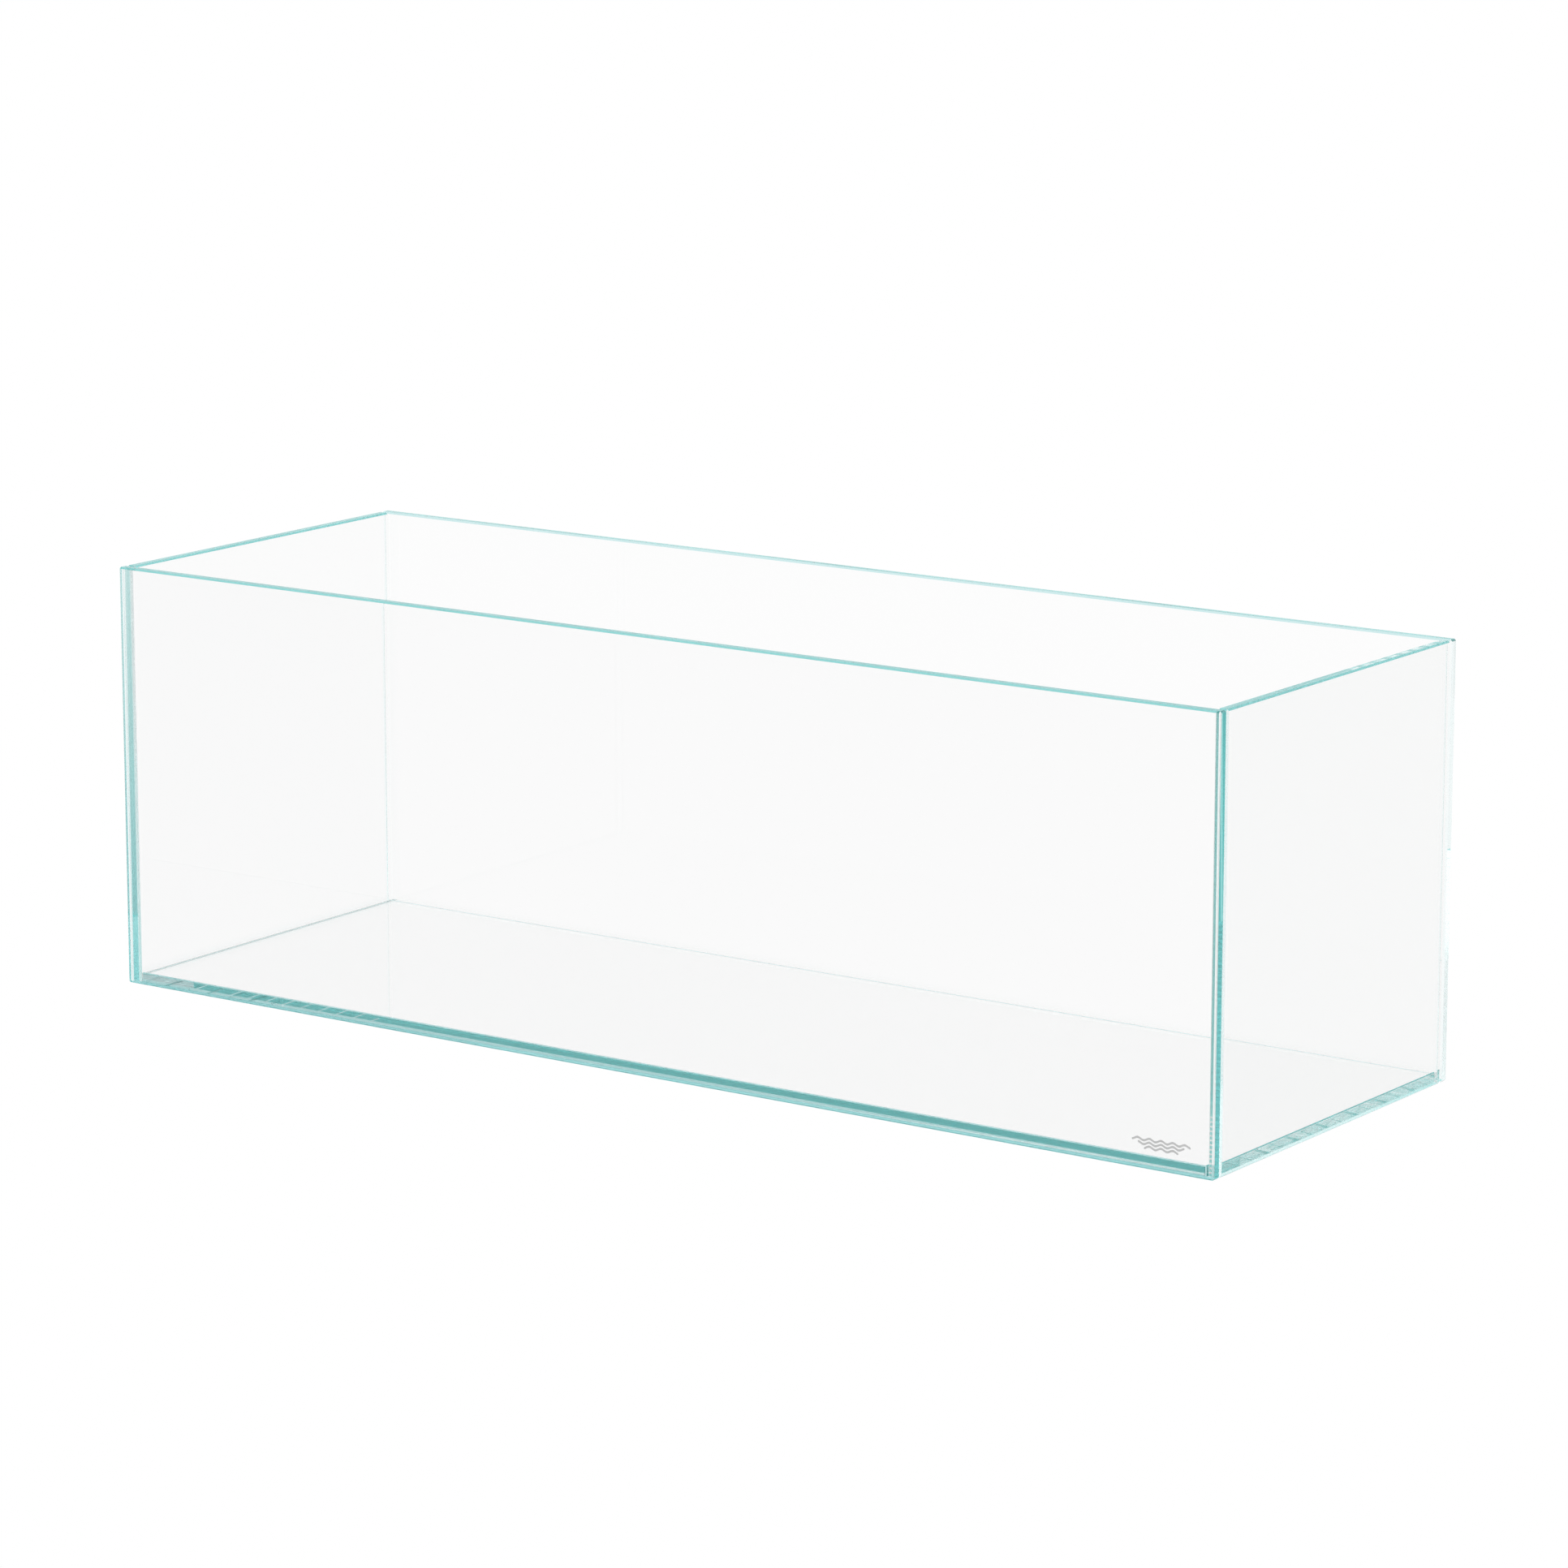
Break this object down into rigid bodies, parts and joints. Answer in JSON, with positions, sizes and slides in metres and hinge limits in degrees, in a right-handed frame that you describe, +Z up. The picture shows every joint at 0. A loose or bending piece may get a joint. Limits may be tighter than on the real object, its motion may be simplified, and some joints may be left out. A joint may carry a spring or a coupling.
{
  "type": "rimless glass aquarium tank",
  "caption": "Long low open-topped rectangular tank of clear low-iron glass panes bonded edge to face with clear silicone, for water, plants or fish.",
  "frame": {"origin": "centre of the tank's underside, on the surface it stands on", "axes": "+X along the length to the right end, +Y from the front pane to the back pane, +Z up to the open rim"},
  "size_m": [0.6, 0.2, 0.2],
  "materials": {
    "low_iron_glass": "polished low-iron float glass with blue-green edges",
    "clear_silicone": "smooth clear silicone"
  },
  "bodies": {
    "root": {"front_pane": "low_iron_glass", "back_pane": "low_iron_glass", "left_pane": "low_iron_glass", "right_pane": "low_iron_glass", "base_pane": "low_iron_glass", "corner_bead_front_left": "clear_silicone", "corner_bead_front_right": "clear_silicone", "corner_bead_back_left": "clear_silicone", "corner_bead_back_right": "clear_silicone", "base_bead_front": "clear_silicone", "base_bead_back": "clear_silicone", "base_bead_left": "clear_silicone", "base_bead_right": "clear_silicone"}
  },
  "joints": []
}
